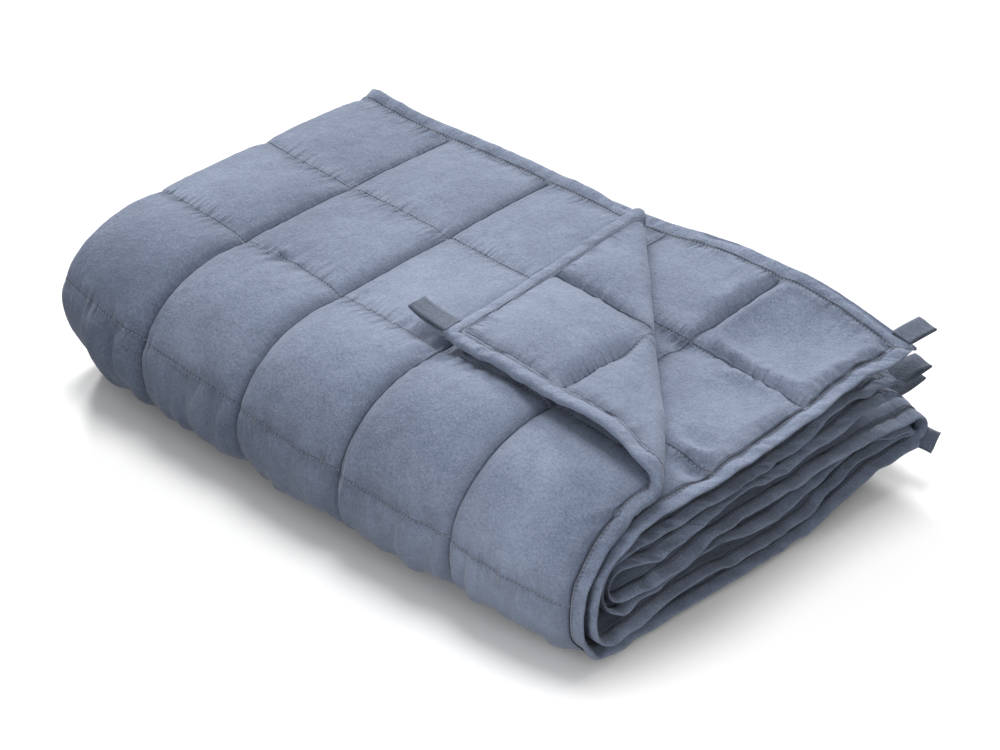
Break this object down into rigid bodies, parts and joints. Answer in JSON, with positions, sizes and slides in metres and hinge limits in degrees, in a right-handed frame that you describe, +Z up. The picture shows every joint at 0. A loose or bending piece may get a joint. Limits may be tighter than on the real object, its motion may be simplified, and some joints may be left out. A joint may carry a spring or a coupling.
{
  "type": "folded weighted blanket",
  "caption": "Quilted weighted blanket with a bound edge and ribbon loops, folded into a thick rectangular stack with one corner turned back.",
  "frame": {"origin": "centre of the underside of the folded blanket's bounding box, on the surface it lies on", "axes": "+X along the long side, from the rounded side fold to the bound ends; +Y from the rounded front fold to the loose edges at the back; +Z up"},
  "size_m": [0.6492, 0.4476, 0.1745],
  "materials": {
    "cover_cloth": "brushed microfibre with a soft sheen, dusty blue-grey",
    "binding_cloth": "brushed microfibre strip, the covers' colour, tonal stitching",
    "ribbon": "plain woven ribbon, a shade darker than the covers"
  },
  "bodies": {
    "root": {"quilted_panel": "cover_cloth", "edge_binding": "binding_cloth", "loop_turned_corner": "ribbon", "loop_top_corner": "ribbon", "loop_upper_inner_corner": "ribbon", "loop_lower_inner_corner": "ribbon", "loop_side": "ribbon"}
  },
  "joints": []
}
